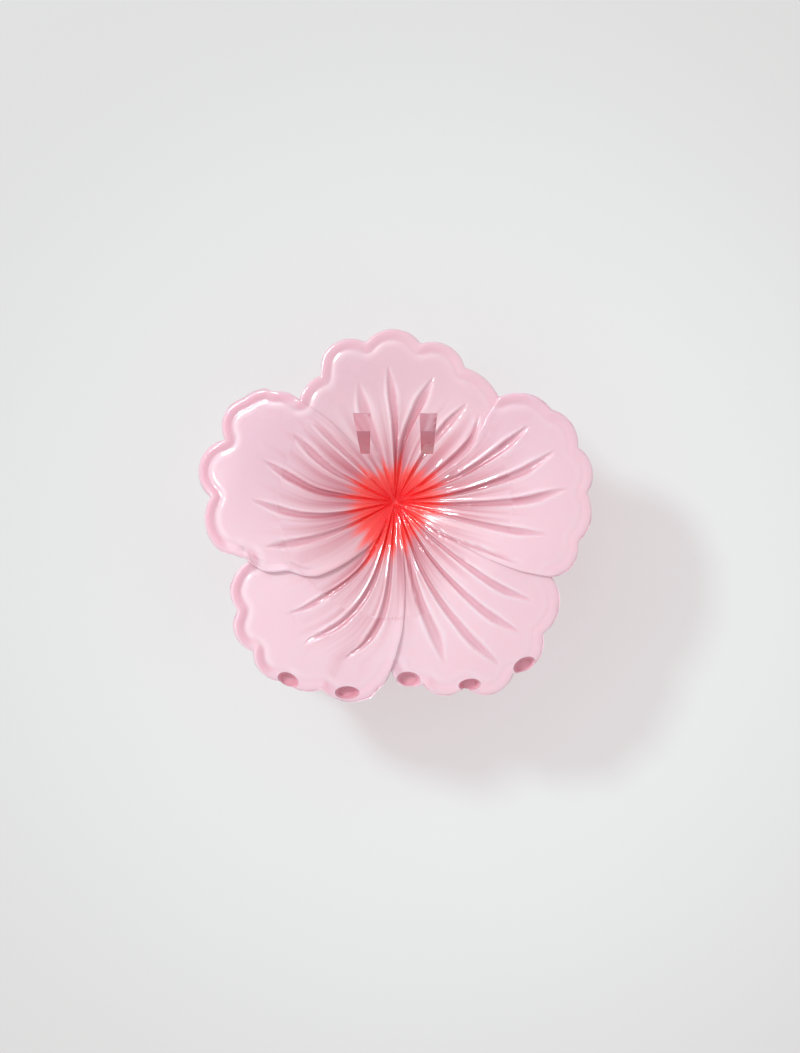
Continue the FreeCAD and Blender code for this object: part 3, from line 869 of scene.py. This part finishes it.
class Nodes:
    """Short calls for building one material's nodes."""

    def __init__(self, name):
        self.material = bpy.data.materials.new(name)
        self.material.use_nodes = True
        self.tree = self.material.node_tree
        self.shader = self.tree.nodes["Principled BSDF"]

    def add(self, kind, inputs=(), **settings):
        node = self.tree.nodes.new(kind)
        for key, value in settings.items():
            setattr(node, key, value)
        for key, value in dict(inputs).items():
            self.put(node.inputs[key], value)
        return node

    def put(self, socket, value):
        if isinstance(value, bpy.types.NodeSocket):
            self.tree.links.new(value, socket)
        else:
            socket.default_value = value

    def attribute(self, name):
        return self.add("ShaderNodeAttribute", attribute_name=name).outputs["Fac"]

    def math(self, operation, *values):
        node = self.add("ShaderNodeMath", operation=operation)
        for socket, value in zip(node.inputs, values):
            self.put(socket, value)
        return node.outputs[0]

    def dot(self, one, other):
        node = self.add("ShaderNodeVectorMath", {0: one, 1: other}, operation="DOT_PRODUCT")
        return node.outputs["Value"]

    def ramp(self, value, low, high, out_low=0.0, out_high=1.0):
        inputs = {"Value": value, "From Min": low, "From Max": high, "To Min": out_low, "To Max": out_high}
        return self.add("ShaderNodeMapRange", inputs, interpolation_type="SMOOTHSTEP").outputs[0]

    def tint(self, colour, factor):
        settings = {"data_type": "RGBA", "blend_type": "MULTIPLY"}
        return self.add("ShaderNodeMix", {0: 1.0, 6: colour, 7: factor}, **settings).outputs[2]

    def mix(self, share, one, other):
        node = self.add("ShaderNodeMix", data_type="RGBA")
        self.put(node.inputs[0], share)
        self.put(node.inputs[6], one)
        self.put(node.inputs[7], other)
        return node.outputs[2]

    def set(self, **values):
        for key, value in values.items():
            self.put(self.shader.inputs[key.replace("_", " ")], value)


def linear(red, green, blue):
    """An sRGB colour, 0 to 255, as linear light."""
    parts = [c / 255 for c in (red, green, blue)]
    return (*[p / 12.92 if p < 0.04045 else ((p + 0.055) / 1.055) ** 2.4 for p in parts], 1.0)


def plastic():
    """Milky pink plastic with a red star sprayed into the throat, and with shade and highlights painted
    into its colour.
    """
    n = Nodes("milky_pink_plastic")
    vein, vein_highlight, rim, inside = (n.attribute(name) for name in ("vein", "vein_highlight", "rim", "hole"))
    side, star_reach = n.attribute("light_side"), n.attribute("star")
    plan = n.add("ShaderNodeAttribute", attribute_name="plan").outputs["Vector"]
    throat = n.add("ShaderNodeVectorMath", {0: plan}, operation="LENGTH").outputs["Value"]
    across = n.add("ShaderNodeVectorMath", {0: plan}, operation="NORMALIZE").outputs["Vector"]
    fold = n.add("ShaderNodeAttribute", attribute_name="fold").outputs["Vector"]
    place = n.add("ShaderNodeTexCoord").outputs["Object"]
    cloud = n.add("ShaderNodeTexNoise", {"Vector": place, "Scale": 60.0, "Detail": 3.0}).outputs["Fac"]
    flow = n.add("ShaderNodeTexNoise", {"Vector": fold, "Scale": 8.0, "Detail": 3.0}).outputs["Fac"]
    face = n.mix(n.ramp(cloud, 0.35, 0.65), linear(235, 197, 211), linear(237, 201, 214))
    # Painted shade and light: the face is painted darker on the top petal and towards the upper left, and
    # lighter towards the lower right, after how the light falls on the clip.
    upper = n.dot(across, (0.0, 1.0, 0.0))
    face = n.mix(n.ramp(upper, 0.68, 0.78, 0.0, 0.6), face, linear(225, 189, 198))
    leftward = n.dot(across, (-0.8, 0.6, 0.0))
    face = n.mix(n.ramp(leftward, 0.3, 0.9, 0.0, 0.55), face, linear(222, 186, 199))
    face = n.mix(n.ramp(leftward, -0.9, -0.3, 0.55, 0.0), face, linear(250, 216, 227))
    # Painted light: pale streaks along the folds round the throat, fading out by 27 mm, for the lit sides
    # of the folds.
    pale = n.math("MULTIPLY", n.ramp(flow, 0.35, 0.65, 0.2, 1.0), n.ramp(throat, 12.0, 27.0, 0.75, 0.0))
    # Painted light: the face is painted lighter towards the lower left.
    lower = n.dot(across, (-0.5, -0.87, 0.0))
    face = n.mix(n.ramp(lower, 0.2, 1.0, 0.0, 0.35), face, linear(248, 222, 231))
    # Painted shade: everything more than about 2 mm below the petals' face, as the underside, is painted a
    # deeper pink.
    under = n.attribute("under")
    face = n.mix(n.math("MULTIPLY", under, 0.8), face, linear(227, 168, 183))
    body = n.mix(pale, face, linear(246, 218, 225))
    # Painted highlight: pale bands along the veins' raised edges.
    body = n.mix(n.math("MULTIPLY", vein_highlight, 0.6), body, linear(252, 230, 238))
    # Painted shade: the veins' grooves are painted a darker pink.
    body = n.mix(n.math("MULTIPLY", vein, 0.62), body, linear(230, 174, 190))
    # Painted shade: a darker band inside the rolled margin, strongest where the margin looks to the upper
    # left, for the shade inside the lip.
    edge = n.mix(side, linear(240, 193, 208), linear(234, 180, 197))
    rim_shade_band = n.math("MULTIPLY", n.ramp(rim, 0.35, 0.7), n.ramp(rim, 1.75, 2.4, 1.0, 0.0))
    body = n.mix(n.math("MULTIPLY", rim_shade_band, n.ramp(side, 0.0, 1.0, 0.2, 0.75)), body, edge)
    # Painted highlight: a bright line just inside that band, strongest where the margin looks to the upper
    # left.
    shoulder = n.math("MULTIPLY", n.ramp(rim, 2.2, 2.7), n.ramp(rim, 2.9, 4.2, 1.0, 0.0))
    shoulder = n.math("MULTIPLY", shoulder, n.ramp(side, 0.0, 1.0, 0.12, 0.42))
    body = n.mix(shoulder, body, linear(252, 230, 238))
    # In windows and pockets: red spray on the walls near the throat, and further out a darker pink that is
    # painted shade in the recesses.
    hollow = n.mix(n.ramp(throat, 12.0, 17.0), linear(232, 78, 86), linear(196, 108, 124))
    hollow = n.mix(n.ramp(throat, 20.0, 26.0), hollow, linear(228, 166, 181))
    body = n.mix(n.math("MULTIPLY", inside, 0.95), body, hollow)
    # the star: broad rays with fine streaks, further out along the veins, and thin overspray round it
    streaks = n.add("ShaderNodeTexNoise", {"Vector": fold, "Scale": 15.0, "Detail": 4.0}).outputs["Fac"]
    reach = n.math("MULTIPLY", star_reach, n.ramp(streaks, 0.3, 0.7, 0.84, 1.14))
    reach = n.math("MULTIPLY", reach, n.ramp(vein, 0.1, 0.8, 1.0, 1.18))
    ratio = n.math("DIVIDE", throat, reach)
    dust = n.math("MULTIPLY", n.ramp(ratio, 0.9, 3.1, 1.0, 0.0), n.ramp(flow, 0.4, 0.6, 1.0, 0.45))
    dust = n.math("MULTIPLY", dust, n.ramp(leftward, -1.0, 1.0, 0.9, 1.0))
    body = n.mix(dust, body, linear(202, 111, 127))
    star = n.ramp(ratio, 0.74, 1.22, 1.0, 0.0)
    red = n.mix(n.ramp(ratio, 0.25, 1.0), linear(246, 26, 34), linear(255, 84, 78))
    red = n.mix(n.ramp(streaks, 0.58, 0.72, 0.0, 0.3), red, linear(255, 140, 130))
    covered = n.math("MAXIMUM", n.math("MULTIPLY", inside, 0.85), n.math("MULTIPLY", under, 0.6))
    shown = n.math("MULTIPLY", star, n.math("SUBTRACT", 1.0, covered))
    colour = n.mix(shown, body, red)
    grain = n.add("ShaderNodeTexNoise", {"Vector": place, "Scale": 900.0, "Detail": 2.0}).outputs["Fac"]
    ripple = n.add("ShaderNodeTexNoise", {"Vector": place, "Scale": 140.0, "Detail": 1.0}).outputs["Fac"]
    height = n.math("ADD", n.math("MULTIPLY", grain, 0.08), ripple)
    bump = n.add("ShaderNodeBump", {"Strength": 0.05, "Distance": 0.0003, "Height": height}).outputs[0]
    n.set(Base_Color=colour, Roughness=n.ramp(cloud, 0.3, 0.7, 0.26, 0.34), Normal=bump)
    n.set(Specular_IOR_Level=0.2, Coat_Weight=0.9, Coat_Roughness=0.04)
    n.set(Subsurface_Weight=0.35, Subsurface_Radius=(1.0, 0.55, 0.6), Subsurface_Scale=0.002)
    return n.material


def steel(name, colour, roughness, scale):
    """Bright steel with fine marks from drawing along the wire."""
    n = Nodes(name)
    place = n.add("ShaderNodeTexCoord").outputs["Object"]
    marks = n.add("ShaderNodeTexNoise", {"Vector": place, "Scale": scale, "Detail": 4.0}).outputs["Fac"]
    tone = n.mix(n.ramp(marks, 0.3, 0.7), colour, tuple(c * 0.8 for c in colour[:3]) + (1.0,))
    bump = n.add("ShaderNodeBump", {"Strength": 0.1, "Distance": 0.0001, "Height": marks}).outputs[0]
    rough = n.ramp(marks, 0.3, 0.7, roughness, roughness + 0.12)
    n.set(Base_Color=tone, Metallic=1.0, Roughness=rough, Normal=bump)
    return n.material


def paper():
    """Pale studio paper that partly glows, so that the clip's shadow on it stays faint and pinkish."""
    n = Nodes("studio_paper")
    place = n.add("ShaderNodeTexCoord").outputs["Object"]
    fibre = n.add("ShaderNodeTexNoise", {"Vector": place, "Scale": 30.0, "Detail": 3.0}).outputs["Fac"]
    # Painted shade: the paper darkens away from a point a little right of and below the middle, as the
    # light falls off towards the corners.
    middle = n.add("ShaderNodeVectorMath", {0: place, 1: (0.014, -0.014, 0.0)}, operation="DISTANCE")
    middle = middle.outputs["Value"]
    white = n.mix(fibre, linear(234, 236, 236), linear(236, 238, 238))
    tone = n.mix(n.ramp(middle, 0.03, 0.15), white, linear(220, 219, 219))
    # Painted light: the paper reflects a greenish-blue share of the light and glows with a pinkish share,
    # so that the clip's shadow on it comes out faint and pink, for light that passes through the plastic.
    shadowed = n.tint(tone, (0.40, 0.55, 0.53, 1.0))
    glowing = n.tint(tone, (0.60, 0.45, 0.47, 1.0))
    n.set(Base_Color=shadowed, Roughness=0.9, Specular_IOR_Level=0.1)
    n.set(Emission_Color=glowing, Emission_Strength=1.0)
    return n.material


def dress(thing, material):
    thing.data.materials.clear()
    thing.data.materials.append(material)


# ---------------------------------------------------------------- the clip

front = jaw("front_jaw_moulding", 1.0, 1.0, FRONT_LUG_X, PIN_RADIUS + PIN_GAP, [(1.6, 0.1), (0.3, 0.8)])
rear = jaw("rear_jaw_moulding", REAR_SIZE, REAR_TRIM, REAR_LUG_X, PIN_RADIUS + 0.01, [(0, 0), (0, 0)])
turn_over(rear)
pin_steel = pin()
spring_wire, spring_half, spring_thick = spring()

pink = plastic()
dress(front, pink)
dress(rear, pink)
dress(pin_steel, steel("pin_steel", (0.62, 0.62, 0.64, 1.0), 0.16, 500.0))
dress(spring_wire, steel("spring_steel", (0.5, 0.5, 0.52, 1.0), 0.24, 900.0))

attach(front, "front")
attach(rear, "rear")
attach(pin_steel, "rear")
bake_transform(spring_wire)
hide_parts("front_jaw")
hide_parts("rear_jaw")
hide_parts("hinge_pin")
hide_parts("torsion_spring")

# ---------------------------------------------------------------- studio


def area_light(name, place, target, size, power, colour=(1, 1, 1)):
    data = bpy.data.lights.new(name, "AREA")
    data.shape, data.size, data.energy, data.color = "DISK", size, power, colour
    lamp = bpy.data.objects.new(name, data)
    lamp.location = place
    lamp.rotation_mode = "QUATERNION"
    lamp.rotation_quaternion = (Vector(target) - Vector(place)).to_track_quat("-Z", "Y")
    bpy.context.scene.collection.objects.link(lamp)
    return lamp


def studio():
    bpy.ops.mesh.primitive_plane_add(size=6, location=(0, 0, 0))
    floor = bpy.context.object
    floor.name = "studio_floor"
    dress(floor, paper())
    clip = (0, 0, MID_Z * MM)
    glints = [((-0.5, 0.75, 1.1), 0.26, 15.0), ((-0.74, 0.08, 1.15), 0.12, 3.0)]
    for number, (place, size, power) in enumerate(glints):
        area_light(f"glint_{number}", place, clip, size, power).visible_diffuse = False
    area_light("key", (-0.80, 0.60, 1.1), clip, 0.24, 9.6)
    world = bpy.data.worlds.new("studio_world")
    bpy.context.scene.world = world
    world.use_nodes = True
    background = world.node_tree.nodes["Background"]
    background.inputs["Color"].default_value = (1, 1, 1, 1)
    background.inputs["Strength"].default_value = 0.73


def camera():
    """Straight above the clip, with the frame a little wider than twice the flower."""
    data = bpy.data.cameras.new("camera")
    data.lens, data.sensor_width = 120, 36
    made = bpy.data.objects.new("camera", data)
    frame_height, face_z = 215.3, 35.0  # what the frame's height covers at the height of the petals
    above = frame_height / 2 / (data.sensor_width / 2 / data.lens)
    made.location = Vector((1.0, -2.3, face_z + above)) * MM
    data.clip_start, data.clip_end = 0.01, 10
    bpy.context.scene.collection.objects.link(made)
    bpy.context.scene.camera = made


studio()
camera()
bpy.context.scene.view_settings.view_transform = "Standard"
